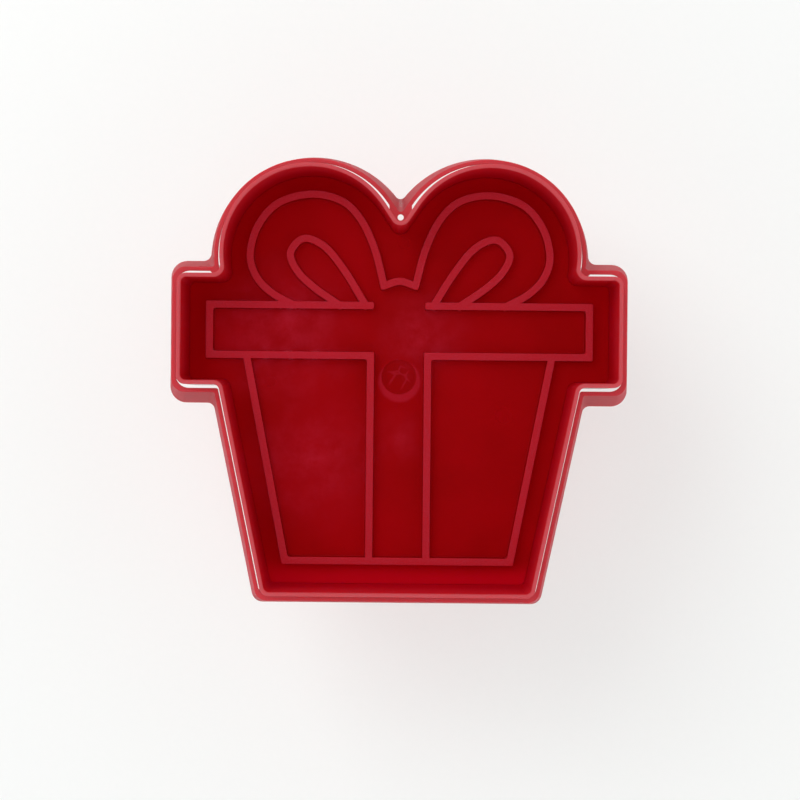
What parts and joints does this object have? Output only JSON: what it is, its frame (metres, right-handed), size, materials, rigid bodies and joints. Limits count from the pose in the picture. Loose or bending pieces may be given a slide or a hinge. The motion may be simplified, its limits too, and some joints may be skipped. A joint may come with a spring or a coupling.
{
  "type": "cookie press",
  "caption": "Spring-return plunger cookie press with a gift-box cutting edge and an embossing plate inside it, moulded in glossy red plastic, standing on its push knob.",
  "frame": {"origin": "on the standing surface, under the middle of the cutter's outline", "axes": "+Z from the knob towards the cutting edge, +Y from the box's foot towards the bow, +X across the lid"},
  "size_m": [0.0806, 0.0785, 0.052],
  "materials": {
    "cutter_plastic": "glossy translucent red, matte on the rim's edge",
    "plate_plastic": "satin translucent red, matte raised lines",
    "knob_plastic": "glossy translucent red",
    "spring_steel": "bright drawn wire",
    "screw_steel": "bright zinc plate"
  },
  "bodies": {
    "cutter": {"cutter_body": "cutter_plastic", "return_spring": "spring_steel"},
    "plunger": {"press_plate": "plate_plastic", "plunger_stem": "knob_plastic", "plunger_knob": "knob_plastic", "knob_cap": "knob_plastic", "plate_screw": "screw_steel", "screw_washer": "screw_steel"}
  },
  "joints": [
    {"name": "plunger_press", "type": "slide", "parent": "cutter", "child": "plunger", "axis": [0, 0, 1], "range_m": [0, 0.011], "stiffness_N_per_m": 600, "springref_m": -0.006, "deforming": ["return_spring"]}
  ]
}
